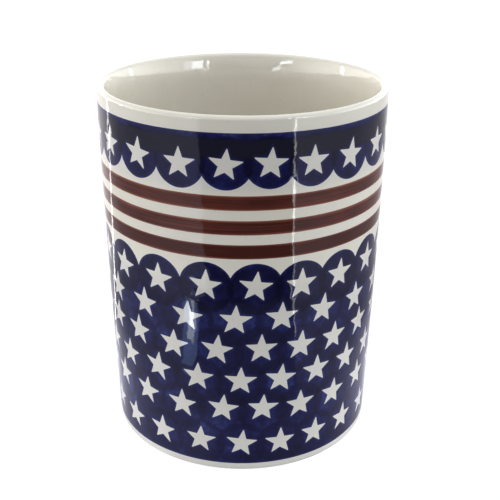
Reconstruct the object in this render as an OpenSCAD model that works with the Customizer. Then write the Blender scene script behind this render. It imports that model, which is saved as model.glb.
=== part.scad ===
// Tall straight-sided stoneware mug without a handle, glazed cream inside and out.
// Two cobalt fields of stamped five-point stars sit above and below three brushed
// iron-brown stripes.  Millimetres, +Z up, the bare foot ring stands on z = 0 and
// the front of the mug faces -Y.

/* [Vessel] */
// Height from the foot to the crown of the rim
height = 178; // [174:1:200]
// Outside radius of the glazed rim
rim_radius = 69.5; // [64:0.5:74]
// Straight taper, rim radius lost by the time the wall reaches the foot
taper = 0.9; // [0:0.1:3]
// Curved tuck-in, extra radius lost towards the foot
tuck = 2.7; // [0:0.1:5]
// Wall thickness with the glaze on both faces
wall = 5.6; // [4:0.1:8]
// Radius of the rounded crown of the rim
rim_round = 1.9; // [1.5:0.1:2]
// Lean of the inside face just under the crown, easing to upright further down, in degrees
lip_slope = 18; // [10:1:24]
// Height of the inside floor above the table
floor_height = 8; // [6:0.5:12]
// Radius of the rounded corner between the inside wall and floor
floor_fillet = 9; // [4:0.5:16]
// Radius of the rounded clay heel above the foot ring
heel_radius = 3.5; // [2:0.5:5]
// Flat width of the foot ring
foot_width = 5; // [3:0.5:10]
// Depth of the recess inside the foot ring
foot_recess = 2; // [1:0.5:3]

/* [Coats] */
// Thickness of the cream glaze
glaze = 0.4; // [0.2:0.1:0.8]
// Height of bare clay left round the heel so the foot does not stick in the kiln
bare_heel = 0.8; // [0.5:0.1:1.5]
// Thickness of the cobalt and iron colour layers over the glaze
paint = 0.2; // [0.1:0.1:0.4]

/* [Upper star band] */
// Distance from the rim crown down to the top edge of the band
band_drop = 7; // [5:0.5:9]
// Distance from the rim crown down to the star centres
band_star_drop = 20.9; // [20.5:0.1:22]
// Number of stars round the band
band_star_count = 21; // [19:1:22]
// Angle of the star nearest the front
band_star_angle = -7.1; // [-9:0.1:9]
// Tip radius of a band star
band_star_radius = 7.5; // [5:0.1:8.5]
// Radius of the stamped disc round each band star
band_disc_radius = 11.6; // [11:0.1:12.5]
// Distance from a band star's centre up to the centre of its disc
band_disc_rise = 0.5; // [0:0.1:0.8]

/* [Brown stripes] */
// Distance from the rim crown down to the middle of the first stripe
stripe_drop = 37.8; // [37.4:0.1:38]
// Distance between stripe middles
stripe_pitch = 11.3; // [9:0.1:11.3]
// Height of one stripe
stripe_height = 6.6; // [3:0.2:6.6]

/* [Lower star field] */
// Distance from the rim crown down to the first row of star centres
field_drop = 77.7; // [77.4:0.1:80]
// Distance between rows of stars
row_pitch = 16; // [15.5:0.1:16.5]
// Extra distance from the fifth row down to the last one
last_row_gap = 3.4; // [0:0.1:4]
// Number of stars in each row, from the top
row_counts = [19, 19, 21, 21, 21, 21];
// Angle of the star nearest the front in each row
row_angles = [4.0, -3.7, 6.4, -1.7, -8.9, -1.2];
// Tip radius of a field star
field_star_radius = 7.8; // [5:0.1:8.4]
// Radius of the stamped disc round each field star
field_disc_radius = 12.6; // [12:0.1:12.8]
// Distance from a field star's centre down to the centre of its disc
field_disc_shift = 1.1; // [0.8:0.1:1.5]
// Height of the cream strip left between the field and the table
foot_strip = 5; // [4:0.2:6]

/* [Hand stamping] */
// Inner radius of a star as a share of its tip radius
star_waist = 0.43; // [0.38:0.01:0.5]
// Largest sideways wander of a stamp, in degrees round the pot
side_wander = 1.3; // [0:0.1:1.5]
// Largest up and down wander of a stamp
rise_wander = 0.5; // [0:0.1:0.8]
// Clockwise lean that every stamp has, in degrees
stamp_lean = 4; // [-8:0.5:8]
// Largest change of lean from stamp to stamp, in degrees
lean_wander = 3; // [0:0.5:6]

/* [Hidden] */

clay_color = [0.80, 0.70, 0.60];
glaze_color = [0.86, 0.84, 0.78];
cobalt_color = [0.11, 0.11, 0.30];
iron_color = [0.34, 0.15, 0.11];

$fn = 180;
wall_step = 22;
arc_steps = 6;
crown_z = height - rim_round;
crown_r = wall_radius(crown_z) - rim_round;
lip_radius = (wall - rim_round * (1 + cos(lip_slope))) / (1 - cos(lip_slope));
lip_z = crown_z + (rim_round - lip_radius) * sin(lip_slope);
heel_r = wall_radius(heel_radius) - glaze - heel_radius;
recess_r = heel_r - foot_width;
// Stamps and discs reach this far to both sides of the wall's surface.
cut_depth = 4;
// The solid part of the upper band runs on this far below its star centres.
past_centres = 1.5;

band_top = height - band_drop;
band_star_z = height - band_star_drop;
field_bottom = foot_strip;
field_star_z = height - field_drop;

// Outside radius of the glazed wall at height z.
function wall_radius(z) =
    let (down = 1 - z / height)
    rim_radius - taper * down - tuck * down * down;

// Points up the wall from z0 to z1, standing off the glazed surface by `off`.
function side_points(z0, z1, off) =
    let (steps = ceil((z1 - z0) / wall_step))
    [for (i = [0 : steps])
        let (z = z0 + (z1 - z0) * i / steps)
        [wall_radius(z) + off, z]];

// Points of a circular arc after its starting point, angles measured from +X towards +Z.
function arc_points(x, z, radius, start, end) =
    [for (i = [1 : arc_steps])
        let (angle = start + (end - start) * i / arc_steps)
        [x + radius * cos(angle), z + radius * sin(angle)]];

// Inside face of the lip, from the upright wall up to the top of the crown.
function lip_points(inset) =
    concat(
        arc_points(
            crown_r + (lip_radius - rim_round) * cos(lip_slope),
            lip_z,
            lip_radius - inset,
            180,
            180 - lip_slope
        ),
        arc_points(crown_r, crown_z, rim_round - inset, 180 - lip_slope, 90)
    );

// The same points shifted sideways so that they follow the taper of the wall.
function following_wall(points) =
    [for (p = points) [p[0] + wall_radius(p[1]) - wall_radius(crown_z), p[1]]];

function reversed(list) = [for (i = [len(list) - 1 : -1 : 0]) list[i]];

// Every stamp wanders a little; star k of row `row` always wanders the same way.
function star_angle(row, k, first, count) =
    first + 360 / count * k + side_wander * sin(58 * k - 2 * row + 120);
function star_rise(row, k) = rise_wander * sin(97 * k + 151 * row);
function star_lean(row, k) = stamp_lean + lean_wander * sin(131 * k + 73 * row + 40);

// Stamp numbers round the pot, counted both ways from the one nearest the front.
function stamps(count) = [-floor(count / 2) : ceil(count / 2) - 1];

// Height of a row of field stars, the last row standing a little lower.
function row_z(row) =
    field_star_z - (row - 1) * row_pitch - (row == len(row_counts) ? last_row_gap : 0);

// Half section of the solid vessel; inset 0 is the glazed surface, inset
// `glaze` the clay beneath it.
module vessel_section(inset) {
    heel_round = heel_radius + glaze - inset;
    difference() {
        union() {
            polygon(concat(
                [[0, heel_radius]],
                side_points(heel_radius, crown_z, -inset),
                arc_points(crown_r, crown_z, rim_round - inset, 0, 90),
                [[0, height - inset]]
            ));
            translate([heel_r, heel_radius])
                circle(r = heel_round);
            translate([0, heel_radius - heel_round])
                square([heel_r, heel_round]);
        }
        cavity_section(inset);
        translate([-1, -1])
            square([recess_r + 1 + glaze - inset, 1 + foot_recess - glaze + inset]);
        translate([-2 * rim_radius, -1])
            square([2 * rim_radius, height + 2]);
    }
}

// Half section of the hollow, with its rounded floor corner.
module cavity_section(inset) {
    base_z = floor_height - inset;
    round_z = floor_height + floor_fillet;
    round_r = wall_radius(round_z) - wall - floor_fillet;
    polygon(concat(
        [[0, round_z]],
        side_points(round_z, lip_z, inset - wall),
        following_wall(lip_points(inset)),
        [[crown_r, height + 1], [0, height + 1]]
    ));
    translate([round_r, round_z])
        circle(r = floor_fillet + inset);
    translate([0, base_z])
        square([round_r, floor_fillet + inset]);
}

// Colour layer lying on the glazed wall between two heights.
module paint_ring(z0, z1) {
    rotate_extrude()
        polygon(concat(
            side_points(z0, z1, 0),
            reversed(side_points(z0, z1, paint))
        ));
}

module star_outline(tip) {
    polygon([for (i = [0 : 9])
        let (r = i % 2 == 0 ? tip : tip * star_waist)
        [r * sin(36 * i), r * cos(36 * i)]]);
}

// Places its children on the wall at one stamp, looking out of the pot.
module at_stamp(row, k, first, count, z) {
    rotate([0, 0, star_angle(row, k, first, count)])
        translate([0, cut_depth - wall_radius(z), z + star_rise(row, k)])
            rotate([90, 0, 0])
                children();
}

module star_row(row, first, count, z, tip) {
    for (k = stamps(count))
        at_stamp(row, k, first, count, z)
            rotate([0, 0, -star_lean(row, k)])
                linear_extrude(height = 2 * cut_depth)
                    star_outline(tip);
}

module disc_row(row, first, count, z, radius, shift) {
    for (k = stamps(count))
        at_stamp(row, k, first, count, z)
            translate([0, -shift, 0])
                cylinder(h = 2 * cut_depth, r = radius);
}

module brown_stripe(index) {
    middle = height - stripe_drop - index * stripe_pitch;
    color(iron_color)
        paint_ring(middle - stripe_height / 2, middle + stripe_height / 2);
}

module stoneware_body() {
    color(clay_color)
        rotate_extrude()
            vessel_section(glaze);
}

// One dip coat: up the outside, over the rim and down over the inside floor.
module glaze_coat() {
    color(glaze_color)
        rotate_extrude()
            difference() {
                vessel_section(0);
                vessel_section(glaze);
                translate([0, -1])
                    square([heel_r, floor_height - glaze + 1]);
                translate([0, -1])
                    square([rim_radius, bare_heel + 1]);
            }
}

// Separate patch of glaze inside the foot ring.
module base_glaze() {
    color(glaze_color)
        translate([0, 0, foot_recess - glaze])
            cylinder(h = glaze, r = recess_r);
}

module upper_star_band() {
    color(cobalt_color)
        difference() {
            union() {
                paint_ring(band_star_z - past_centres, band_top);
                intersection() {
                    paint_ring(band_star_z - 2 * band_disc_radius, band_star_z - past_centres);
                    disc_row(0, band_star_angle, band_star_count, band_star_z, band_disc_radius,
                        -band_disc_rise);
                }
            }
            star_row(0, band_star_angle, band_star_count, band_star_z, band_star_radius);
        }
}

module brown_stripe_upper() {
    brown_stripe(0);
}

module brown_stripe_middle() {
    brown_stripe(1);
}

module brown_stripe_lower() {
    brown_stripe(2);
}

module lower_star_field() {
    color(cobalt_color)
        difference() {
            union() {
                paint_ring(field_bottom, field_star_z);
                intersection() {
                    paint_ring(field_star_z, field_star_z + 2 * field_disc_radius);
                    disc_row(1, row_angles[0], row_counts[0], field_star_z, field_disc_radius,
                        field_disc_shift);
                }
            }
            for (row = [1 : len(row_counts)])
                star_row(row, row_angles[row - 1], row_counts[row - 1], row_z(row), field_star_radius);
        }
}

stoneware_body();
glaze_coat();
base_glaze();
upper_star_band();
brown_stripe_upper();
brown_stripe_middle();
brown_stripe_lower();
lower_star_field();
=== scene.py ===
"""Looks of the tall stoneware mug: a clay pot, a cream glaze and stamped and brushed colour.

Metres, +Z up, foot on z = 0, front towards -Y.  The decoration is laid out flat first, in
millimetres round the wall (s) and up it (z), then cut into closed thin skins and wrapped
onto the slightly uneven wall.
"""

import math

import bmesh
import bpy
import numpy as np
from mathutils import Matrix, Vector, kdtree
from mathutils.geometry import delaunay_2d_cdt


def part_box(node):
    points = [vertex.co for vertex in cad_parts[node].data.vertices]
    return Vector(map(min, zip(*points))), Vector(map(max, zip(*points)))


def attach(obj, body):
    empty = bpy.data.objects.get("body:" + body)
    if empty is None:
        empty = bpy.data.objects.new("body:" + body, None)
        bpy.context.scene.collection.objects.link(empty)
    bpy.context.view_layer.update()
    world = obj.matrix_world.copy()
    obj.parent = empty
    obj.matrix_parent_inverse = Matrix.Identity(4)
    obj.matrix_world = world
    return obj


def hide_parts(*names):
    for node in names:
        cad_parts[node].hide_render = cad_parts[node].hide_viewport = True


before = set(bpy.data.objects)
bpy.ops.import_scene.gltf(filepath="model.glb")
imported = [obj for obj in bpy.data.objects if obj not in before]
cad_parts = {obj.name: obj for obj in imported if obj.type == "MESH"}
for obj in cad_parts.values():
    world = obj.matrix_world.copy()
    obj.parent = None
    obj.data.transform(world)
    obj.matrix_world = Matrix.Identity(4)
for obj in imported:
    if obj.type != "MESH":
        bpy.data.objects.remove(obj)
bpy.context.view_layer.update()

# ---------------------------------------------------------------- the pot's sizes, in mm
MM = 0.001
glaze_low, glaze_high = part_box("glaze_coat")
HEIGHT = glaze_high[2] / MM
RIM_RADIUS = (glaze_high[0] - glaze_low[0]) / 2 / MM
TAPER = 0.9  # radius lost evenly from the rim to the foot
TUCK = 2.7  # radius lost besides, most of it near the foot
WALL = 5.6
RIM_ROUND = 1.9
LIP_SLOPE = 18.0
FLOOR = 8.0
FLOOR_FILLET = 9.0
HEEL = 3.5
FOOT_WIDTH = 5.0
FOOT_EDGE = 0.5
FOOT_RECESS = 2.0
RECESS_ROUND = 0.6
GLAZE = 0.4
GLAZE_SHARE = 0.8  # how much of the glaze's thickness the shell takes up
BARE_HEEL = 0.8  # the glaze ends this high over the table
CLAY_HEEL = 0.9  # and the clay's own outline joins the heel just over that

# The patch of glaze in the recess under the base
PATCH_MARGIN = 1.6
PATCH_ROUND = 0.3
PATCH_MIDDLE_DROP = 0.25
PATCH_BED = 0.1
PATCH_FEATHER = 3
PATCH_WANDER = 0.25
PATCH_STEADY = 40

# What the potter's hand leaves on the wall
RING_DEPTH = 0.03
RING_PITCH = 2.1
RINGS_BELOW_RIM = 6
FADE_FROM = 1.0  # no unevenness lower than this
FADE_OVER = 8.0  # and all of it this much higher up

# ---------------------------------------------------------------- the decoration, in mm
# A drop is measured down from the top of the rim, and angles are degrees.
BAND_DROP = 7.0
BRUSHED_DROP = 17.9
SECOND_COAT_DROP = 9.6
BAND_ROW = {"row": 0, "count": 21, "first": -7.1, "drop": 20.9, "tip": 7.5}
BAND_DISC = 11.6
BAND_DISC_RISE = 0.5
STRIPE_DROP = 37.8
STRIPE_PITCH = 11.3
STRIPE_HEIGHT = 6.6
# name, streakiness, thickness
STRIPES = (("upper", 0.20, 0.04), ("middle", 0.42, 0.08), ("lower", 0.18, 0.22))
# The field's rows from the top: how many stars, and the bearing of the one in front
ROW_COUNTS = (19, 19, 21, 21, 21, 21)
ROW_ANGLES = (4.0, -3.7, 6.4, -1.7, -8.9, -1.2)
FIELD_DROP = 77.7
ROW_PITCH = 16.0
LAST_ROW_GAP = 3.4
FIELD_TIP = 7.8
FIELD_DISC = 12.6
FIELD_DISC_SHIFT = 1.1
FOOT_STRIP = 5.0
BOTTOM_COAT = 7.5
SIDE_WANDER = 1.3
RISE_WANDER = 0.5
STAMP_LEAN = 4.0
LEAN_WANDER = 3.0

# A star: shares of its tip radius, and degrees as seen from its middle
STAR_WAIST = 0.43
TIP_WANDER = 0.035
LOWER_TIPS = (4, 6)
LOWER_TIPS_SHORT = 0.05
BLUNT_SHOULDER = 0.985
BLUNT_ANGLE = 1.7

# How many coats each stroke or stamp lays on, and how wide its edges are in mm
BRUSHED_COATS, SECOND_COATS, BAND_DISC_COATS = 0.95, 1.1, 1.3
FIELD_COATS, FIELD_DISC_COATS, TOP_ROW_COATS, BOTTOM_COATS = 0.25, 0.72, 0.75, 0.5
THINNEST_COBALT = 0.8
STRIPE_EDGE_COATS, STRIPE_COATS = 0.04, 0.78
BRUSHED_EDGE, SECOND_EDGE, DISC_EDGE, BOTTOM_EDGE = 1.6, 1.4, 0.8, 2
COBALT_BLEED = 0.9
STRIPE_BLEED = 1.2

# Where the cream between the stars has taken up a little cobalt
HAZE_DEPTH = 1.5
HAZE_RISE = 2
FIELD_HAZE_EDGE = 8
BAND_HAZE_EDGE = 4

# ---------------------------------------------------------------- the mesh, in mm
AROUND = 2 * math.pi * (RIM_RADIUS - 1)
CELL = 1.25
CELL_ROWS = 0.87  # height of a row of even-sided triangles, in cells
CLEARANCE = 0.55  # how far lattice points keep off the outline, in cells
EDGE_STEP = 0.8
SAMPLE_STEP = 0.4
FINE_STEP = 0.1
CUSP_KINK = 0.02  # bend between fine steps that marks where two discs meet
CUSP_CLEAR = 4  # fine steps that other points keep off a cusp
STAR_REACH = 10  # no star is wider than this from its middle
STAR_MARGIN = 1.1
SAME_POINT = 1e-5
SAME_PROFILE_POINT = 1e-4
SEAM_SLACK = 1e-3
WELD = 0.004
NOWHERE = -1e9
PAINT_EDGE = 0.03  # a skin's height over the glaze at its edge
PAINT_FULL = 0.09  # and away from it
PAINT_RAMP = 0.7  # how far in from the edge it gets there
PAINT_BED = 0.06  # how deep its underside lies in the glaze
PAINT_CREASE, POT_CREASE = 0.6, 0.7  # cosines
ROUND_STEPS = 360
CROWN_STEPS, LIP_STEPS, HEEL_STEPS, FILLET_STEPS = 18, 9, 8, 14
OUTSIDE_STEP, INSIDE_STEP = 1.5, 2.5
FLOOR_MIDDLE, FLOOR_POINTS = 3.0, 26
HUB = 0.5  # radius at the axis where a fan closes the middle

# ---------------------------------------------------------------- colours and gloss
CREAM = ((0.3, (0.785, 0.748, 0.655)), (0.7, (0.822, 0.792, 0.708)))
CREAM_SPECK = (0.55, 0.47, 0.36)
CREAM_HAZE = (0.93, 0.94, 0.985)
COBALT = (
    (0.00, (0.055, 0.072, 0.260)),
    (0.18, (0.026, 0.031, 0.125)),
    (0.31, (0.0185, 0.0195, 0.088)),
    (0.50, (0.0150, 0.0145, 0.062)),
    (0.70, (0.0115, 0.0105, 0.044)),
    (1.00, (0.0090, 0.0090, 0.034)),
)
COBALT_DEEPEST = 3.5
COBALT_BRUSHED = (0.024, 0.023, 0.040)
COBALT_BLED = (0.045, 0.060, 0.200)
IRON = (
    (0.00, (0.380, 0.180, 0.120)),
    (0.35, (0.260, 0.100, 0.070)),
    (0.70, (0.150, 0.048, 0.037)),
    (1.00, (0.085, 0.027, 0.021)),
)
CLAY = ((0.3, (0.56, 0.47, 0.37)), (0.7, (0.66, 0.57, 0.46)))
CLAY_SPECK = (0.33, 0.25, 0.18)
BLACK = (0.0, 0.0, 0.0)
CREAM_INDEX = 1.68
COLOUR_INDEX = 1.45
GLAZE_ROUGHNESS = (0.04, 0.075)
CLAY_ROUGHNESS = (0.72, 0.9)
RIPPLE = 0.12  # depth of the glaze's relief, in mm
PEEL_SHARE = 0.08  # share of the orange peel in it
GRAIN = 0.15  # depth of the bare clay's relief, in mm

# ---------------------------------------------------------------- the stage, in metres
# Bearings are degrees round the pot: 0 is the front, 90 the right-hand side.
FLOOR_HALF = 6.0
FLOOR_SINK = 0.00005
FLOOR_SEEN = (0.93, 0.935, 0.94)
FLOOR_SHADOW = (0.12, 0.12, 0.12)
TABLE_EDGE = 0.235
TABLE_EDGE_BLUR = 0.012
FOOT_NEAR, FOOT_FAR = 0.10, 0.17
NEAR_SHEEN = 0.80  # how much of its gloss the floor keeps this side of the table's edge
# Share left in the dark gap in front, on the table and beyond its edge
GLOSS_NEAR, GLOSS_FAR = 0.34, 0.02
LIGHT_NEAR, LIGHT_FAR = 0.74, 0.05
GLOSS_TINT = (1.02, 1.0, 1.10)
LIGHT_TINT = (1.13, 1.165, 1.21)
FRONT_GAP = ((-33, 0.0), (-31.8, 1.0), (36.5, 1.0), (37.5, 0.0))
FOOT_GAP = ((-22, 0.05), (-10, 0.45), (0, 0.60), (10, 0.55), (22, 0.42), (45, 0.30), (60, 0.0))
SWEEP_LEVELS = (
    (-180, (1.1, 1.08, 1.0)), (-128, (1.1, 1.08, 1.0)), (-119, (0.76, 0.75, 0.71)),
    (-105, 0.52), (-80, 0.58), (-58, 0.82), (-40, 0.86), (40, 0.84), (60, 0.78), (85, 0.55),
    (116, 0.48), (133, (0.61, 0.60, 0.56)), (150, (0.96, 0.95, 0.88)), (180, (1.1, 1.08, 1.0)),
)
FOOT_LEVELS = (
    (-180, 1.1), (-110, 1.6), (-92, 1.25), (-79, 1.10), (-70, 1.0), (-60, 0.90), (-45, 0.84),
    (45, 0.78), (60, 0.80), (70, 0.90), (79, 1.0), (92, 1.1), (110, 1.3), (180, 1.1),
)
WALL_LEVELS = (
    (-180, 1.4), (-110, (3.1, 3.06, 2.97)), (-85, (3.3, 3.26, 3.16)), (-60, (2.6, 2.57, 2.50)),
    (-42, (1.4, 1.39, 1.36)), (-36, (0.08, 0.08, 0.09)), (36, (0.08, 0.08, 0.09)),
    (42, (1.4, 1.42, 1.40)), (60, (2.2, 2.24, 2.22)), (85, (3.1, 3.15, 3.12)),
    (120, (2.9, 2.95, 2.92)), (180, 1.4),
)
SKY_LEVELS = (
    (-180, 1.12), (-90, (0.88, 0.85, 0.78)), (0, (1.0, 1.01, 1.04)), (90, (1.12, 1.18, 1.25)),
    (180, 1.12),
)
CEILING = (0.87, 0.90, 0.97)
# Sines of elevation where the wall turns into ceiling, and the ceiling into open sky
CEILING_FROM, CEILING_TO = 0.14, 0.54
SKY_FROM, SKY_TO = 0.60, 0.85

TABLE_GLOW = (0.83, 0.86, 1.03)
WINDOW = (0.86, 0.93, 1.0)
WINDOW_SHEEN = (0.55, 0.75, 1.25)
RIGHT_GAP = (0.98, 0.97, 1.0)
LEFT_GAP = (1.0, 1.0, 1.0)
CARD_LIFT = 0.001
# name, near, far, first and last bearing, colour, strength, height over the floor
FLOOR_STRIPS = (
    ("right_gap", 0.36, 1.6, 36.8, 38.2, RIGHT_GAP, 8, CARD_LIFT),
    ("right_gap_end", 0.185, 0.36, 36.9, 37.9, RIGHT_GAP, 6, CARD_LIFT),
    ("left_gap", 0.14, 1.6, -125.0, -122.6, LEFT_GAP, 5, CARD_LIFT),
    ("window_sheen", 0.150, 0.235, -42, -31, WINDOW_SHEEN, 2.4, CARD_LIFT),
    ("window_sheen_core", 0.180, 0.235, -38, -34, WINDOW, 7, 1.5 * CARD_LIFT),
)
# The corners of the lit table on the left, as distance and bearing
LEFT_TABLE = ((0.255, -36), (0.70, -36), (0.70, -31.5), (0.255, -24.5))
WINDOW_DISTANCE = 0.9
# name, low, high, first and last bearing, strength, climb from the first to the last
WINDOWS = (
    ("window_left", 0.20, 0.29, -27, -35, 5, 0.08),
    ("window_left_top", 0.38, 0.46, -35, -48, 8, 0.05),
    ("window_left_edge", -0.05, 0.30, -38.4, -37.0, 9, 0.0),
    ("window_right", 0.30, 0.50, 38.8, 49.5, 7.5, -0.03),
    ("window_right_wing", 0.28, 0.50, 49.5, 57, 3.6, -0.03),
    ("window_right_inner", 0.20, 0.50, 33.0, 34.6, 8, 0.0),
    ("window_right_edge", -0.05, 0.30, 36.8, 38.2, 6, 0.0),
    ("window_far_left", 0.05, 0.40, -103, -100, 8, 0.0),
    ("window_far_right", 0.05, 0.40, 117, 119.5, 9, 0.0),
)

LENS, SENSOR = 65.0, 36
CAMERA_SIDE, CAMERA_BACK, CAMERA_ABOVE_RIM = 0.0005, 0.4295, 0.0940
CAMERA_PITCH, CAMERA_YAW, CAMERA_ROLL = 23.02, 0.458, 0.387  # degrees
GAMMA = 0.85


def sin_deg(x):
    return math.sin(math.radians(x))


def smoothstep(x):
    x = np.clip(x, 0.0, 1.0)
    return x * x * (3 - 2 * x)


def soft_edge(x, width):
    """0 below zero and 1 above it, with the change spread over `width`."""
    return smoothstep(x / width + 0.5)


# ---------------------------------------------------------------- the wall
def wall_radius(z):
    down = 1 - np.asarray(z) / HEIGHT
    return RIM_RADIUS - TAPER * down - TUCK * down * down


def unevenness(theta, z):
    """How far the hand-finished wall stands off a true surface of revolution, in mm."""
    return (
        0.070 * np.cos(2 * theta + 0.6)
        + 0.045 * np.sin(3 * theta + z / 31)
        + 0.030 * np.sin(5 * theta - z / 19 + 1.0)
        + 0.016 * np.sin(9 * theta + z / 12 + 2.0)
        + 0.010 * np.sin(14 * theta - z / 9)
    )


def turned(r, theta, z):
    """Points at `r` and `z` mm, turned `theta` round the axis from the front, in metres."""
    return np.column_stack((r * np.sin(theta), -r * np.cos(theta), z)) * MM


def on_wall(theta, z, off):
    """Points standing `off` mm off the glazed wall, in metres."""
    return turned(wall_radius(z) + unevenness(theta, z) + off, theta, z)


# ---------------------------------------------------------------- where the stamps fall
def stamps(row, count, first, drop, tip):
    """Every stamp of one row as (s, z, lean in degrees, tip radius).

    Each wanders by sines of its place in the row, which no two stars near each other share.
    """
    found = []
    for k in range(-(count // 2), count - count // 2):
        angle = first + 360 / count * k + SIDE_WANDER * sin_deg(58 * k - 2 * row + 120)
        rise = RISE_WANDER * sin_deg(97 * k + 151 * row)
        lean = STAMP_LEAN + LEAN_WANDER * sin_deg(131 * k + 73 * row + 40)
        s = (angle + 180) % 360 / 360 * AROUND - AROUND / 2
        found.append((s, HEIGHT - drop + rise, lean, tip))
    return found


def field_rows():
    rows = []
    for i, (count, first) in enumerate(zip(ROW_COUNTS, ROW_ANGLES)):
        last = LAST_ROW_GAP if i == len(ROW_COUNTS) - 1 else 0
        rows.append(stamps(i + 1, count, first, FIELD_DROP + i * ROW_PITCH + last, FIELD_TIP))
    return rows


def discs_of(row, rise):
    """The round stamps behind a row of stars, their centres `rise` mm above the stars'."""
    return [(s, z + rise, lean, tip) for s, z, lean, tip in row]


def across_seam(items, reach):
    """The items, and again one turn away for those that reach over the seam at the back."""
    doubled = []
    for item in items:
        for turn in (-AROUND, 0, AROUND):
            if abs(item[0] + turn) < AROUND / 2 + reach:
                doubled.append((item[0] + turn, *item[1:]))
    return doubled


def star_loop(stamp):
    """Closed outline of one star, its points slightly blunt, as an n x 2 array."""
    s, z, lean, tip = stamp
    corners = []
    for i in range(10):
        a = math.radians(36 * i + lean)
        if i % 2:
            corners.append((tip * STAR_WAIST * math.sin(a), tip * STAR_WAIST * math.cos(a)))
            continue
        grow = 1 + TIP_WANDER * math.sin(1.7 * i + s) - LOWER_TIPS_SHORT * (i in LOWER_TIPS)
        for side in (-1, 0, 1):
            b = a + side * math.radians(BLUNT_ANGLE)
            r = tip * grow * (BLUNT_SHOULDER if side else 1.0)
            corners.append((r * math.sin(b), r * math.cos(b)))
    return np.array(corners) + (s, z)


def subdivided(points, closed, step=EDGE_STEP):
    """The same line with no piece longer than `step`."""
    ends = np.vstack((points, points[:1])) if closed else points
    out = []
    for a, b in zip(ends[:-1], ends[1:]):
        n = max(1, math.ceil(np.linalg.norm(b - a) / step))
        out.extend(a + (b - a) * (i / n) for i in range(n))
    if not closed:
        out.append(ends[-1])
    return np.array(out)


def scallops(discs, radius, side):
    """The line all round the pot made by the outer arcs of a row of overlapping discs.

    `side` is 1 for the line over the discs and -1 for the line under them.
    """
    s = np.arange(-AROUND / 2, AROUND / 2 + FINE_STEP / 2, FINE_STEP)
    best = np.full(len(s), NOWHERE)
    for disc in across_seam(discs, 2 * radius):
        inside = radius**2 - (s - disc[0]) ** 2
        reach = np.where(inside > 0, side * disc[1] + np.sqrt(np.maximum(inside, 0)), NOWHERE)
        best = np.maximum(best, reach)
    z = side * best
    z[-1] = z[0]
    s[-1] = AROUND / 2
    cusp = np.flatnonzero(np.diff(z, 2) * side > CUSP_KINK) + 1
    keep = np.zeros(len(s), bool)
    keep[[0, -1]] = True
    keep[cusp] = True
    travelled = np.concatenate(([0], np.cumsum(np.hypot(np.diff(s), np.diff(z)))))
    marks = np.searchsorted(travelled, np.arange(0, travelled[-1], EDGE_STEP))
    near_cusp = np.array([np.abs(cusp - m).min() < CUSP_CLEAR for m in marks])
    keep[marks[~near_cusp]] = True
    return np.column_stack((s, z))[keep]


def level(z):
    """A level line all round the pot."""
    n = round(AROUND / EDGE_STEP)
    s = np.linspace(-AROUND / 2, AROUND / 2, n + 1)
    return np.column_stack((s, np.full(n + 1, z)))


# ---------------------------------------------------------------- cutting the colour skins
def inside_loop(points, loop):
    """Which points lie inside a closed loop."""
    x, y = points[:, 0], points[:, 1]
    hit = np.zeros(len(points), bool)
    for (x0, y0), (x1, y1) in zip(loop, np.roll(loop, -1, axis=0)):
        crosses = (y0 > y) != (y1 > y)
        with np.errstate(divide="ignore", invalid="ignore"):
            at = (x1 - x0) * (y - y0) / (y1 - y0) + x0
        hit ^= crosses & (x < at)
    return hit


def lattice(low, high):
    """Staggered points that fill the strip between two heights, the same at both seam ends."""
    columns = round(AROUND / CELL)
    rows = max(2, round((high - low) / (CELL * CELL_ROWS)))
    points = []
    for j in range(rows + 1):
        shift = 0.5 * (j % 2)
        s = (np.arange(columns) + shift) / columns * AROUND - AROUND / 2
        points.append(np.column_stack((s, np.full(columns, low + (high - low) * j / rows))))
    return np.vstack(points)


def outline_finder(bottom, top, loops):
    """A tree that tells how far any point is from the skin's outline."""
    dense = [subdivided(line, False, SAMPLE_STEP) for line in (bottom, top)]
    dense += [subdivided(loop, True, SAMPLE_STEP) for loop in loops]
    dense = np.vstack(dense)
    tree = kdtree.KDTree(len(dense))
    for i, (s, z) in enumerate(dense):
        tree.insert((s, z, 0), i)
    tree.balance()
    return tree


def seam_lines(bottom, top):
    """The two upright ends of the strip, which meet at the back of the pot."""
    low, high = bottom[0, 1], top[0, 1]
    z = np.linspace(low, high, max(2, round((high - low) / CELL)) + 1)
    return [np.column_stack((np.full(len(z), s), z)) for s in (-AROUND / 2, AROUND / 2)]


def filling(bottom, top, tree):
    """The lattice points that keep clear of the outline and of the seam."""
    points = lattice(bottom[:, 1].min(), top[:, 1].max())
    points = points[np.abs(points[:, 0]) <= AROUND / 2 - 0.5 * CELL]
    return [p for p in points if tree.find((p[0], p[1], 0))[2] > CLEARANCE * CELL]


def add_line(points, edges, line, closed=False):
    start, n = len(points), len(line)
    points.extend(line)
    edges.extend((start + i, start + (i + 1) % n) for i in range(n if closed else n - 1))


def in_the_skin(middle, bottom, top, stars):
    """Which points lie between the two lines and outside every star."""
    s, z = middle.T
    keep = np.abs(s) < AROUND / 2
    keep &= z > np.interp(s, bottom[:, 0], bottom[:, 1])
    keep &= z < np.interp(s, top[:, 0], top[:, 1])
    for star in across_seam(stars, STAR_REACH):
        near = np.flatnonzero(np.hypot(s - star[0], z - star[1]) < star[3] * STAR_MARGIN)
        keep[near[inside_loop(middle[near], star_loop(star))]] = False
    return keep


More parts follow.
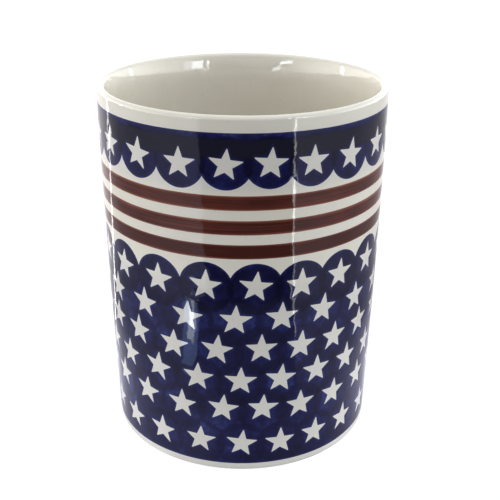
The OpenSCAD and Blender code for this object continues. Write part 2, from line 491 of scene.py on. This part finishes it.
def cut_skin(bottom, top, stars):
    """The strip between two lines, less the stars, in flat triangles.

    Gives the points, the triangles and each point's distance from the outline.
    """
    loops = [subdivided(star_loop(star), True) for star in across_seam(stars, STAR_REACH)]
    tree = outline_finder(bottom, top, loops)
    points, edges = [], []
    for line in (bottom, top):
        add_line(points, edges, line)
    for loop in loops:
        add_line(points, edges, loop, closed=True)
    for line in seam_lines(bottom, top):
        add_line(points, edges, line)
    points += filling(bottom, top, tree)
    made = delaunay_2d_cdt([Vector(p) for p in points], edges, [], 0, SAME_POINT)
    flat = np.array([tuple(v) for v in made[0]])
    faces = np.array(made[2])

    faces = faces[in_the_skin(flat[faces].mean(axis=1), bottom, top, stars)]
    used = np.unique(faces)
    renumber = np.full(len(flat), -1)
    renumber[used] = np.arange(len(used))
    flat, faces = flat[used], renumber[faces]
    a, b, c = (flat[faces[:, i]] for i in range(3))
    backwards = (b - a)[:, 0] * (c - a)[:, 1] - (b - a)[:, 1] * (c - a)[:, 0] < 0
    faces[backwards] = faces[backwards][:, ::-1]
    gap = np.array([tree.find((s, z, 0))[2] for s, z in flat])
    return flat, faces, gap


def open_edges(faces):
    """The directed edges that only one triangle has."""
    single = {}
    for face in faces.tolist():
        for start, end in zip(face, face[1:] + face[:1]):
            if (end, start) in single:
                del single[end, start]
            else:
                single[start, end] = True
    return list(single)


def up_the_seam(one, two):
    """Whether an edge runs up one end of the strip, where the other end closes it."""
    seam = AROUND / 2 - SEAM_SLACK
    return min(abs(one[0]), abs(two[0])) > seam and one[0] * two[0] > 0


def paint_skin(name, bottom, top, stars, shades, material):
    """One colour layer as a closed thin skin whose edges melt down to the glaze."""
    flat, faces, gap = cut_skin(bottom, top, stars)
    theta, z = flat[:, 0] / AROUND * 2 * math.pi, flat[:, 1]
    thick = PAINT_EDGE + (PAINT_FULL - PAINT_EDGE) * smoothstep(gap / PAINT_RAMP)
    points = np.vstack((on_wall(theta, z, thick), on_wall(theta, z, -PAINT_BED)))
    under = len(flat)
    polygons = faces.tolist() + (faces[:, ::-1] + under).tolist()
    for a, b in open_edges(faces):
        if not up_the_seam(flat[a], flat[b]):
            polygons.append((b, a, a + under, b + under))
    mesh = bpy.data.meshes.new(name)
    mesh.from_pydata(points.tolist(), [], polygons)
    for label, values in shades(flat, gap).items():
        point_values(mesh, label, np.concatenate((values, values)))
    work = bmesh.new()
    work.from_mesh(mesh)
    bmesh.ops.remove_doubles(work, verts=work.verts, dist=WELD * MM)
    write_smooth(work, mesh, PAINT_CREASE)
    return finished(name, mesh, material)


# ---------------------------------------------------------------- any mesh
def point_values(mesh, name, values):
    """One number for each point of the mesh, for its material to read."""
    layer = mesh.attributes.new(name, "FLOAT", "POINT")
    layer.data.foreach_set("value", np.asarray(values, np.float32))


def write_smooth(work, mesh, crease):
    """Shades all smooth but the edges where two faces turn by more than the crease."""
    for face in work.faces:
        face.smooth = True
    for edge in work.edges:
        if len(edge.link_faces) == 2:
            one, two = (f.normal for f in edge.link_faces)
            edge.smooth = one.dot(two) > crease
    work.to_mesh(mesh)
    work.free()


def finished(name, mesh, material):
    mesh.materials.append(material)
    mesh.validate()
    piece = bpy.data.objects.new(name, mesh)
    bpy.context.collection.objects.link(piece)
    return piece


# ---------------------------------------------------------------- revolved pieces
def arc(cx, cz, radius, start, end, steps):
    """Points of a circular arc, angles in degrees from +r towards +z."""
    return [
        (cx + radius * math.cos(math.radians(a)), cz + radius * math.sin(math.radians(a)))
        for a in np.linspace(start, end, steps + 1)
    ]


def rise(z0, z1, off, step):
    """Points up or down the wall's line, standing off the glazed surface by `off`."""
    n = max(1, round(abs(z1 - z0) / step))
    return [(float(wall_radius(z)) + off, float(z)) for z in np.linspace(z0, z1, n + 1)]


def without_repeats(points):
    kept = [points[0]]
    for p in points[1:]:
        if math.dist(p, kept[-1]) > SAME_PROFILE_POINT:
            kept.append(p)
    return kept


def revolved(name, profile, wobble, material, closed_ends=False):
    """A closed (r, z) outline in mm turned round the axis.

    `wobble` moves every point outwards.  With closed_ends the outline starts and ends beside
    the axis and each end is closed by a fan; without, the outline is a ring.
    """
    profile = without_repeats(profile)
    theta = np.arange(ROUND_STEPS) / ROUND_STEPS * 2 * math.pi
    rows = []
    for r, z in profile:
        out = wobble(theta, np.full(ROUND_STEPS, r), np.full(ROUND_STEPS, z))
        rows.append(turned(r + out, theta, np.full(ROUND_STEPS, z)))
    points = np.vstack(rows)
    last = len(profile) - 1
    pairs = [(i, i + 1) for i in range(last)]
    if not closed_ends:
        pairs.append((last, 0))
    turn = np.arange(ROUND_STEPS)
    onward = (turn + 1) % ROUND_STEPS
    faces = []
    for low, high in pairs:
        a, b = low * ROUND_STEPS, high * ROUND_STEPS
        faces += np.column_stack((a + turn, a + onward, b + onward, b + turn)).tolist()
    if closed_ends:
        for row, one, two in ((0, onward, turn), (last, turn, onward)):
            ring, hub = row * ROUND_STEPS, len(points)
            points = np.vstack((points, points[ring : ring + ROUND_STEPS].mean(axis=0)))
            faces += np.column_stack((ring + one, ring + two, np.full(ROUND_STEPS, hub))).tolist()
    mesh = bpy.data.meshes.new(name)
    mesh.from_pydata(points.tolist(), [], faces)
    work = bmesh.new()
    work.from_mesh(mesh)
    bmesh.ops.recalc_face_normals(work, faces=work.faces)
    write_smooth(work, mesh, POT_CREASE)
    return finished(name, mesh, material)


def lip_arcs(inset):
    """The rounded crown and the gentle lean of the inside face below it, and where that ends."""
    lean = math.cos(math.radians(LIP_SLOPE))
    crown_z = HEIGHT - RIM_ROUND
    crown_r = float(wall_radius(crown_z)) - RIM_ROUND
    lip_radius = (WALL - RIM_ROUND * (1 + lean)) / (1 - lean)
    lip_z = crown_z + (RIM_ROUND - lip_radius) * sin_deg(LIP_SLOPE)
    crown = arc(crown_r, crown_z, RIM_ROUND - inset, 0, 180 - LIP_SLOPE, CROWN_STEPS)
    centre_r = crown_r + (lip_radius - RIM_ROUND) * lean
    inner = arc(centre_r, lip_z, lip_radius - inset, 180 - LIP_SLOPE, 180, LIP_STEPS)
    top = float(wall_radius(crown_z))
    return crown + [(r + float(wall_radius(z)) - top, z) for r, z in inner], crown_z, lip_z


def heel_centre():
    """Radius at which the heel's rounding starts from the flat foot."""
    return float(wall_radius(HEEL)) - GLAZE - HEEL


def vessel_outline(inset, heel_from):
    """Half section of the pot from the heel, over the rim and down to the inside floor's middle."""
    lip, crown_z, lip_z = lip_arcs(inset)
    heel_round = HEEL + GLAZE - inset
    low = math.degrees(math.asin(max(-1.0, (heel_from - HEEL) / heel_round)))
    round_z = FLOOR + FLOOR_FILLET
    round_r = float(wall_radius(round_z)) - WALL - FLOOR_FILLET
    outline = arc(heel_centre(), HEEL, heel_round, low, 0, HEEL_STEPS)
    outline += rise(HEEL, crown_z, -inset, OUTSIDE_STEP)
    outline += lip
    outline += rise(lip_z, round_z, inset - WALL, INSIDE_STEP)
    outline += arc(round_r, round_z, FLOOR_FILLET + inset, 0, -90, FILLET_STEPS)
    outline += [(r, FLOOR - inset) for r in np.linspace(round_r, FLOOR_MIDDLE, FLOOR_POINTS)]
    return outline


def vessel_wobble(theta, r, z):
    """The walls' unevenness and the throwing rings inside, which die out on the floor and foot."""
    inside = (r < wall_radius(z) - WALL / 2) & (z < HEIGHT - RINGS_BELOW_RIM)
    rings = RING_DEPTH * np.sin(z / RING_PITCH + 2 * np.sin(theta)) * inside
    return (unevenness(theta, z) + rings) * smoothstep((z - FADE_FROM) / FADE_OVER)


def patch_wobble(theta, r, z):
    """The patch's edge wanders a little where the glaze ran; its middle doesn't."""
    return PATCH_WANDER * np.sin(5 * theta) * (r > PATCH_STEADY)


# ---------------------------------------------------------------- node helpers
def new_material(name):
    material = bpy.data.materials.new(name)
    material.use_nodes = True
    tree = material.node_tree
    shader = next(n for n in tree.nodes if n.type == "BSDF_PRINCIPLED")
    return material, tree, shader


def link(tree, source, target):
    tree.links.new(source, target)
    return target


def coordinates(tree, scale):
    """Object coordinates in millimetres, stretched by `scale`."""
    where = tree.nodes.new("ShaderNodeTexCoord")
    mapping = tree.nodes.new("ShaderNodeMapping")
    mapping.inputs["Scale"].default_value = [x / MM for x in scale]
    link(tree, where.outputs["Object"], mapping.inputs["Vector"])
    return mapping.outputs["Vector"]


def noise_value(tree, scale, detail=3.0, rough=0.55):
    """Noise of about one feature per millimetre times `scale`."""
    node = tree.nodes.new("ShaderNodeTexNoise")
    node.inputs["Scale"].default_value = 1.0
    node.inputs["Detail"].default_value = detail
    node.inputs["Roughness"].default_value = rough
    link(tree, coordinates(tree, scale), node.inputs["Vector"])
    return node.outputs["Fac"]


def attribute(tree, name):
    node = tree.nodes.new("ShaderNodeAttribute")
    node.attribute_name = name
    return node.outputs["Fac"]


def feed(tree, socket, value):
    """Sets an input to a number or a colour, or links it to another node's output."""
    if isinstance(value, tuple):
        socket.default_value = (*value, 1.0)
    elif isinstance(value, (int, float)):
        socket.default_value = value
    else:
        link(tree, value, socket)


def math_node(tree, operation, a, b):
    node = tree.nodes.new("ShaderNodeMath")
    node.operation = operation
    for socket, value in zip(node.inputs, (a, b)):
        feed(tree, socket, value)
    return node.outputs[0]


def remap(tree, value, low, high, to_low=0.0, to_high=1.0):
    node = tree.nodes.new("ShaderNodeMapRange")
    node.inputs["From Min"].default_value = low
    node.inputs["From Max"].default_value = high
    node.inputs["To Min"].default_value = to_low
    node.inputs["To Max"].default_value = to_high
    link(tree, value, node.inputs["Value"])
    return node.outputs["Result"]


def ramp(tree, value, stops):
    """Colour ramp through (position, (r, g, b)) stops."""
    node = tree.nodes.new("ShaderNodeValToRGB")
    band = node.color_ramp
    while len(band.elements) < len(stops):
        band.elements.new(0.5)
    for element, (position, colour) in zip(band.elements, stops):
        element.position = position
        element.color = (*colour, 1.0)
    link(tree, value, node.inputs["Fac"])
    return node.outputs["Color"]


def mixed(tree, factor, a, b, blend="MIX"):
    node = tree.nodes.new("ShaderNodeMix")
    node.data_type = "RGBA"
    node.blend_type = blend
    node.clamp_factor = True
    for name, value in (("Factor", factor), ("A", a), ("B", b)):
        feed(tree, node.inputs[name], value)
    return node.outputs["Result"]


def tinted(tree, colour, tint):
    return mixed(tree, 1.0, colour, tint, "MULTIPLY")


def bumped(tree, shader, height, depth):
    """Relief `depth` mm deep."""
    node = tree.nodes.new("ShaderNodeBump")
    node.inputs["Strength"].default_value = 1.0
    node.inputs["Distance"].default_value = depth * MM
    link(tree, height, node.inputs["Height"])
    link(tree, node.outputs["Normal"], shader.inputs["Normal"])


def glazed(tree, shader, index):
    """The glassy surface that every fired coat shares: a slow ripple and fine orange peel."""
    slow = noise_value(tree, (0.11, 0.11, 0.11), 2.0, 0.5)
    peel = noise_value(tree, (0.7, 0.7, 0.7), 2.0, 0.5)
    height = math_node(tree, "ADD", slow, math_node(tree, "MULTIPLY", peel, PEEL_SHARE))
    bumped(tree, shader, height, RIPPLE)
    shine = noise_value(tree, (0.25, 0.25, 0.25), 3.0)
    link(tree, remap(tree, shine, 0.3, 0.7, *GLAZE_ROUGHNESS), shader.inputs["Roughness"])
    shader.inputs["IOR"].default_value = index


# ---------------------------------------------------------------- materials
def cream_glaze():
    """Warm cream with a few iron specks, a little bluer where cobalt has run into it."""
    material, tree, shader = new_material("cream_glaze")
    cloud = noise_value(tree, (0.035, 0.035, 0.035), 4.0)
    speck = noise_value(tree, (0.9, 0.9, 0.9), 2.0, 0.4)
    spots = remap(tree, speck, 0.70, 0.76, 0.0, 0.35)
    colour = mixed(tree, spots, ramp(tree, cloud, CREAM), CREAM_SPECK)
    colour = mixed(tree, attribute(tree, "haze"), colour, tinted(tree, colour, CREAM_HAZE))
    link(tree, colour, shader.inputs["Base Color"])
    glazed(tree, shader, CREAM_INDEX)
    return material


def cobalt_glaze():
    """Cobalt, darker where stamps and brush strokes lie over each other and thin at its edges."""
    material, tree, shader = new_material("cobalt_glaze")
    sponge = noise_value(tree, (0.55, 0.55, 0.55), 5.0, 0.65)
    cloud = noise_value(tree, (0.09, 0.09, 0.09), 3.0, 0.5)
    swing = remap(tree, sponge, 0.25, 0.75, -0.45, 0.45)
    load = math_node(tree, "ADD", attribute(tree, "coats"), swing)
    load = math_node(tree, "ADD", load, remap(tree, cloud, 0.3, 0.7, -0.60, 0.60))
    colour = ramp(tree, remap(tree, load, 0.0, COBALT_DEEPEST), COBALT)
    brushed = remap(tree, attribute(tree, "brushed"), 0.0, 1.0, 0.0, 0.85)
    colour = mixed(tree, brushed, colour, COBALT_BRUSHED)
    bleed = remap(tree, attribute(tree, "edge"), 0.0, 1.0, 0.0, 0.45)
    colour = mixed(tree, bleed, colour, COBALT_BLED)
    link(tree, colour, shader.inputs["Base Color"])
    glazed(tree, shader, COLOUR_INDEX)
    return material


def iron_glaze(name, streakiness, thickness):
    """Iron brown from a loaded brush on a turning wheel: streaks round the pot, thin edges."""
    material, tree, shader = new_material(name)
    streak = noise_value(tree, (0.012, 0.012, 1.6), 4.0, 0.6)
    cloud = noise_value(tree, (0.05, 0.05, 0.12), 3.0, 0.5)
    swing = remap(tree, streak, 0.25, 0.75, thickness - streakiness, thickness + streakiness)
    load = math_node(tree, "ADD", attribute(tree, "coats"), swing)
    load = math_node(tree, "ADD", load, remap(tree, cloud, 0.3, 0.7, -0.12, 0.12))
    link(tree, ramp(tree, load, IRON), shader.inputs["Base Color"])
    glazed(tree, shader, COLOUR_INDEX)
    return material


def bare_clay():
    """Grainy, matt and warm buff."""
    material, tree, shader = new_material("bare_clay")
    grain = noise_value(tree, (2.2, 2.2, 2.2), 5.0, 0.7)
    cloud = noise_value(tree, (0.08, 0.08, 0.08), 3.0)
    dark = remap(tree, grain, 0.62, 0.75, 0.0, 0.6)
    colour = mixed(tree, dark, ramp(tree, cloud, CLAY), CLAY_SPECK)
    link(tree, colour, shader.inputs["Base Color"])
    link(tree, remap(tree, grain, 0.3, 0.7, *CLAY_ROUGHNESS), shader.inputs["Roughness"])
    bumped(tree, shader, grain, GRAIN)
    return material


# ---------------------------------------------------------------- shades of the colour layers
def overlap(flat, discs, radius):
    """How many stamped discs cover each point, with soft edges."""
    total = np.zeros(len(flat))
    for disc in across_seam(discs, radius + 1):
        inside = radius - np.hypot(flat[:, 0] - disc[0], flat[:, 1] - disc[1])
        total += soft_edge(inside, DISC_EDGE)
    return total


def cobalt_shades(coats, gap):
    return {"coats": np.maximum(coats, THINNEST_COBALT), "edge": 1 - smoothstep(gap / COBALT_BLEED)}


def band_shades(flat, gap):
    z = flat[:, 1]
    brushed = soft_edge(z - (HEIGHT - BRUSHED_DROP), BRUSHED_EDGE)
    second = brushed * soft_edge(HEIGHT - SECOND_COAT_DROP - z, SECOND_EDGE)
    discs = overlap(flat, discs_of(stamps(**BAND_ROW), BAND_DISC_RISE), BAND_DISC)
    coats = BRUSHED_COATS * brushed + SECOND_COATS * second + BAND_DISC_COATS * discs
    return {**cobalt_shades(coats, gap), "brushed": second}


def field_shades(flat, gap):
    rows = [overlap(flat, discs_of(row, -FIELD_DISC_SHIFT), FIELD_DISC) for row in field_rows()]
    bottom = soft_edge(FOOT_STRIP + BOTTOM_COAT - flat[:, 1], BOTTOM_EDGE)
    coats = FIELD_COATS + FIELD_DISC_COATS * sum(rows)
    return cobalt_shades(coats + TOP_ROW_COATS * rows[0] + BOTTOM_COATS * bottom, gap)


def stripe_shades(flat, gap):
    return {"coats": STRIPE_EDGE_COATS + STRIPE_COATS * smoothstep(gap / STRIPE_BLEED)}


def spread_haze(mesh):
    """Marks the cream of the outside wall where it shows through the cobalt."""
    points = np.empty(3 * len(mesh.vertices))
    mesh.vertices.foreach_get("co", points)
    x, y, z = points.reshape(-1, 3).T / MM
    outside = np.hypot(x, y) > wall_radius(z) - HAZE_DEPTH
    field = soft_edge(HEIGHT - FIELD_DROP + HAZE_RISE - z, FIELD_HAZE_EDGE)
    band = soft_edge(z - (HEIGHT - BAND_ROW["drop"] - BAND_DISC), BAND_HAZE_EDGE)
    band *= soft_edge(HEIGHT - BAND_DROP - z, BAND_HAZE_EDGE)
    point_values(mesh, "haze", outside * (field + band))


# ---------------------------------------------------------------- the pieces
def make_glaze_shell():
    """The dip coat, a closed shell from the heel over the rim to the inside floor."""
    outside = vessel_outline(0, BARE_HEEL)
    inside = vessel_outline(GLAZE * GLAZE_SHARE, BARE_HEEL)
    shell = revolved("glaze_shell", outside + inside[::-1], vessel_wobble, cream)
    spread_haze(shell.data)
    return shell


def make_clay_pot():
    """The fired clay under the glaze, with its bare foot ring."""
    recess = heel_centre() - FOOT_WIDTH - RECESS_ROUND
    foot = recess + 2 * FOOT_EDGE
    outline = [(HUB, FOOT_RECESS)]
    outline += arc(recess - RECESS_ROUND, FOOT_RECESS - RECESS_ROUND, RECESS_ROUND, 90, 0, 5)
    outline += arc(recess + FOOT_EDGE, FOOT_EDGE, FOOT_EDGE, 180, 270, 4)
    outline += [(r, 0.0) for r in np.linspace(foot, heel_centre(), 6)]
    outline += arc(heel_centre(), HEEL, HEEL, -90, -60, 4)
    outline += vessel_outline(GLAZE, CLAY_HEEL)
    outline += [(HUB, FLOOR - GLAZE)]
    return revolved("clay_pot", outline, vessel_wobble, clay, closed_ends=True)


def make_base_patch():
    """The patch of glaze in the recess, cut off by the wiped foot."""
    edge = heel_centre() - FOOT_WIDTH - PATCH_MARGIN
    under, over = FOOT_RECESS - GLAZE, FOOT_RECESS + PATCH_BED
    outline = [(HUB, under), (edge - PATCH_FEATHER, under)]
    outline += arc(edge - PATCH_ROUND, FOOT_RECESS - PATCH_MIDDLE_DROP, PATCH_ROUND, -60, 90, 6)
    outline += [(edge - PATCH_FEATHER, over), (HUB, over)]
    return revolved("base_patch", outline, patch_wobble, cream, closed_ends=True)


def make_band():
    """The brushed band, its lower line scalloped by the discs that hold the stars."""
    row = stamps(**BAND_ROW)
    bottom = scallops(discs_of(row, BAND_DISC_RISE), BAND_DISC, -1)
    return paint_skin("star_band", bottom, level(HEIGHT - BAND_DROP), row, band_shades, cobalt)


def make_stripe(index, name, streakiness, thickness):
    middle = HEIGHT - STRIPE_DROP - index * STRIPE_PITCH
    low, high = middle - STRIPE_HEIGHT / 2, middle + STRIPE_HEIGHT / 2
    material = iron_glaze(f"iron_glaze_{name}", streakiness, thickness)
    return paint_skin(f"stripe_{name}", level(low), level(high), [], stripe_shades, material)


def make_field():
    """The field of overlapping discs, its upper line scalloped by the first row."""
    rows = field_rows()
    top = scallops(discs_of(rows[0], -FIELD_DISC_SHIFT), FIELD_DISC, 1)
    stars = [star for row in rows for star in row]
    return paint_skin("star_field", level(FOOT_STRIP), top, stars, field_shades, cobalt)


def place(piece, slot, *nodes):
    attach(piece, "root")
    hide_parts(*nodes)


cream = cream_glaze()
cobalt = cobalt_glaze()
clay = bare_clay()
place(make_glaze_shell(), "cream_glaze", "glaze_coat")
place(make_clay_pot(), "bare_clay", "stoneware_body")
place(make_base_patch(), "cream_glaze", "base_glaze")
place(make_band(), "cobalt_glaze", "upper_star_band")
for index, (name, streakiness, thickness) in enumerate(STRIPES):
    place(make_stripe(index, name, streakiness, thickness), "iron_glaze", f"brown_stripe_{name}")
place(make_field(), "cobalt_glaze", "lower_star_field")


# ---------------------------------------------------------------- floor, lights and camera
def separated(tree, vector):
    """The vector's x, y and z."""
    split = tree.nodes.new("ShaderNodeSeparateXYZ")
    link(tree, vector, split.inputs["Vector"])
    return tuple(split.outputs)


def bearing(tree, x, y):
    """Compass bearing round the pot as 0..1: 0.5 is the front, 0.75 the right-hand side."""
    angle = math_node(tree, "ARCTAN2", x, math_node(tree, "MULTIPLY", y, -1.0))
    return remap(tree, angle, -math.pi, math.pi)


def by_bearing(tree, turn, levels):
    """Brightness round the pot from (bearing, grey or colour) stops."""
    stops = []
    for degrees, shade in levels:
        colour = shade if isinstance(shade, tuple) else (shade, shade, shade)
        stops.append(((degrees + 180) / 360, colour))
    return ramp(tree, turn, stops)


def glow(tree, colour, strength=1.0):
    node = tree.nodes.new("ShaderNodeEmission")
    node.inputs["Strength"].default_value = strength
    feed(tree, node.inputs["Color"], colour)
    return node.outputs["Emission"]


def mix_shader(tree, factor, a, b):
    node = tree.nodes.new("ShaderNodeMixShader")
    for socket, value in zip(node.inputs, (factor, a, b)):
        link(tree, value, socket)
    return node.outputs["Shader"]


def stage_material(name):
    material, tree, shader = new_material(name)
    tree.nodes.remove(shader)
    output = next(n for n in tree.nodes if n.type == "OUTPUT_MATERIAL")
    material.cycles.emission_sampling = "NONE"
    return material, tree, output


def floor_glows(tree, where):
    """What the floor sends into the gloss of the glaze, and what it lights everything with.

    Both follow the bearing.  The front is darker, more so beyond the table's edge, and the
    gloss has levels of its own close to the foot.
    """
    x, y, _ = separated(tree, where)
    turn = bearing(tree, x, y)
    length = tree.nodes.new("ShaderNodeVectorMath")
    length.operation = "LENGTH"
    link(tree, where, length.inputs[0])
    reach = length.outputs["Value"]
    beyond = remap(tree, reach, TABLE_EDGE - TABLE_EDGE_BLUR, TABLE_EDGE + TABLE_EDGE_BLUR)
    close = remap(tree, reach, FOOT_NEAR, FOOT_FAR, 1, 0)

    def front_gap(near, far):
        gap = by_bearing(tree, turn, FRONT_GAP)
        return math_node(tree, "MULTIPLY", gap, remap(tree, beyond, 0, 1, 1 - near, 1 - far))

    sweep = by_bearing(tree, turn, SWEEP_LEVELS)
    shine = mixed(tree, close, sweep, by_bearing(tree, turn, FOOT_LEVELS))
    dark = mixed(tree, close, front_gap(GLOSS_NEAR, GLOSS_FAR), by_bearing(tree, turn, FOOT_GAP))
    gloss = mixed(tree, dark, tinted(tree, shine, GLOSS_TINT), BLACK)
    gloss = mixed(tree, remap(tree, beyond, 0, 1, 1 - NEAR_SHEEN, 0), gloss, BLACK)
    light = mixed(tree, front_gap(LIGHT_NEAR, LIGHT_FAR), tinted(tree, sweep, LIGHT_TINT), BLACK)
    return gloss, light


def make_floor():
    """White sweep lit from the sides and back; the table ends in front of the pot."""
    corners = [(x * FLOOR_HALF, y * FLOOR_HALF, 0) for x, y in ((-1, -1), (1, -1), (1, 1), (-1, 1))]
    mesh = bpy.data.meshes.new("floor")
    mesh.from_pydata(corners, [], [(0, 1, 2, 3)])
    material, tree, output = stage_material("floor_white")
    where = tree.nodes.new("ShaderNodeTexCoord")
    gloss, light = floor_glows(tree, where.outputs["Object"])
    rays = tree.nodes.new("ShaderNodeLightPath")
    unseen = mix_shader(tree, rays.outputs["Is Glossy Ray"], glow(tree, light), glow(tree, gloss))
    white = tree.nodes.new("ShaderNodeBsdfDiffuse")
    feed(tree, white.inputs["Color"], FLOOR_SHADOW)
    seen = tree.nodes.new("ShaderNodeAddShader")
    link(tree, white.outputs["BSDF"], seen.inputs[0])
    link(tree, glow(tree, FLOOR_SEEN), seen.inputs[1])
    both = mix_shader(tree, rays.outputs["Is Camera Ray"], unseen, seen.outputs["Shader"])
    link(tree, both, output.inputs["Surface"])
    floor = finished("floor", mesh, material)
    floor.location.z = -FLOOR_SINK


def make_card(name, corners, colour, strength):
    """A glowing card that shows only in the gloss of the glaze."""
    mesh = bpy.data.meshes.new(name)
    mesh.from_pydata(corners, [], [(0, 1, 2, 3)])
    material, tree, output = stage_material(name)
    link(tree, glow(tree, colour, strength), output.inputs["Surface"])
    card = finished(name, mesh, material)
    card.visible_camera = False
    card.visible_diffuse = False
    card.visible_shadow = False
    card.visible_transmission = False


def polar(distance, degrees, z):
    """A point at a distance from the pot's axis, at a bearing round it."""
    angle = math.radians(degrees)
    return (distance * math.sin(angle), -distance * math.cos(angle), z)


def floor_strip(name, near, far, start, end, colour, strength, lift):
    places = ((near, start), (far, start), (far, end), (near, end))
    make_card(name, [polar(*spot, lift) for spot in places], colour, strength)


def window(name, low, high, start, end, strength, climb):
    """An upright card, its last end `climb` higher than its first."""
    places = ((start, low), (end, low + climb), (end, high + climb), (start, high))
    make_card(name, [polar(WINDOW_DISTANCE, *spot) for spot in places], WINDOW, strength)


def make_world():
    """Bright studio round and over the pot, darker low in front; plain white to the camera."""
    world = bpy.data.worlds.new("studio")
    bpy.context.scene.world = world
    world.use_nodes = True
    tree = world.node_tree
    background = next(n for n in tree.nodes if n.type == "BACKGROUND")
    where = tree.nodes.new("ShaderNodeTexCoord")
    x, y, z = separated(tree, where.outputs["Generated"])
    turn = bearing(tree, x, y)
    walls = by_bearing(tree, turn, WALL_LEVELS)
    room = mixed(tree, remap(tree, z, CEILING_FROM, CEILING_TO), walls, CEILING)
    room = mixed(tree, remap(tree, z, SKY_FROM, SKY_TO), room, by_bearing(tree, turn, SKY_LEVELS))
    rays = tree.nodes.new("ShaderNodeLightPath")
    colour = mixed(tree, rays.outputs["Is Camera Ray"], room, (1.0, 1.0, 1.0))
    link(tree, colour, background.inputs["Color"])
    background.inputs["Strength"].default_value = 1.0


def make_camera():
    """A long lens a little above the rim, looking down into the pot."""
    pitch, yaw, roll = (math.radians(a) for a in (CAMERA_PITCH, CAMERA_YAW, CAMERA_ROLL))
    data = bpy.data.cameras.new("camera")
    data.lens = LENS
    data.sensor_width = SENSOR
    camera = bpy.data.objects.new("camera", data)
    bpy.context.collection.objects.link(camera)
    flat = math.cos(pitch)
    ahead = Vector((math.sin(yaw) * flat, math.cos(yaw) * flat, -math.sin(pitch)))
    right = Vector((math.cos(yaw), -math.sin(yaw), 0))
    up = right.cross(ahead)
    rolled_right = right * math.cos(roll) + up * math.sin(roll)
    rolled_up = up * math.cos(roll) - right * math.sin(roll)
    pose = Matrix((rolled_right, rolled_up, -ahead)).transposed().to_4x4()
    pose.translation = Vector((CAMERA_SIDE, -CAMERA_BACK, HEIGHT * MM + CAMERA_ABOVE_RIM))
    camera.matrix_world = pose
    bpy.context.scene.camera = camera


make_floor()
make_world()
for strip in FLOOR_STRIPS:
    floor_strip(*strip)
make_card("left_table", [polar(*spot, CARD_LIFT) for spot in LEFT_TABLE], TABLE_GLOW, 1)
for strip in WINDOWS:
    window(*strip)
make_camera()
bpy.context.scene.view_settings.view_transform = "Standard"
bpy.context.scene.view_settings.gamma = GAMMA
